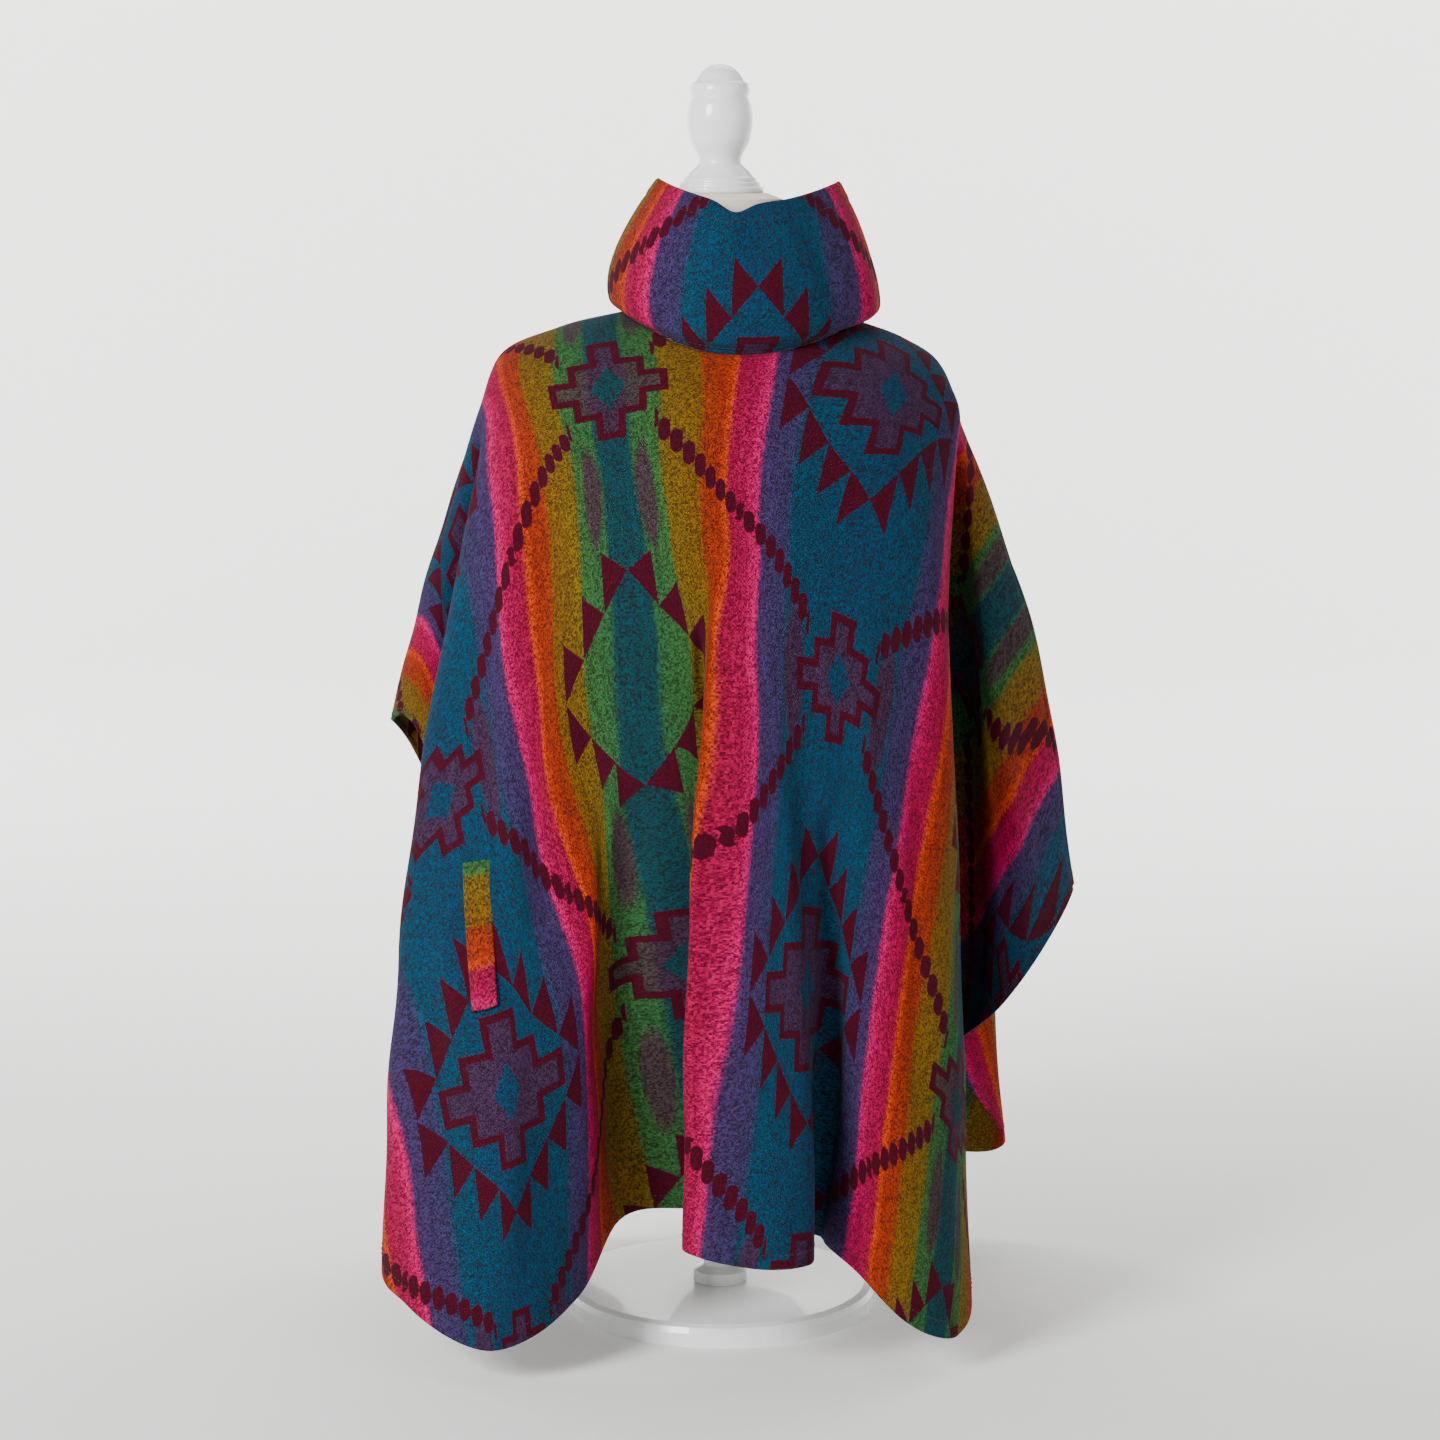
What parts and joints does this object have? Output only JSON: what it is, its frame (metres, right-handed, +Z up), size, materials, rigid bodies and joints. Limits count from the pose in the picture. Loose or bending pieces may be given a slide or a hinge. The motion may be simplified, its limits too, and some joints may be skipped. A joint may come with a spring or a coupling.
{
  "type": "turtleneck poncho on a limbless table-top dress form",
  "caption": "Wool-look turtleneck poncho in a striped geometric weave, draped in folds on a limbless dress form with a turned finial.",
  "frame": {"origin": "middle of the underside of the dress form's round base", "axes": "+Z up, front of the poncho faces -Y, the viewer's right in a front view is +X"},
  "size_m": [0.659, 0.5557, 1.1834],
  "materials": {
    "front_cloth": "napped wool weave, multicoloured",
    "back_cloth": "napped wool weave, multicoloured",
    "collar_cloth": "napped wool weave, multicoloured",
    "welt_cloth": "napped wool weave, striped",
    "form_cover": "cream jersey",
    "white_wood": "gloss white paint"
  },
  "bodies": {
    "root": {"front_panel": "front_cloth", "back_panel": "back_cloth", "collar": "collar_cloth", "pocket_welt": "welt_cloth", "form_torso": "form_cover", "form_finial": "white_wood", "stand_pole": "white_wood", "stand_base": "white_wood"}
  },
  "joints": []
}
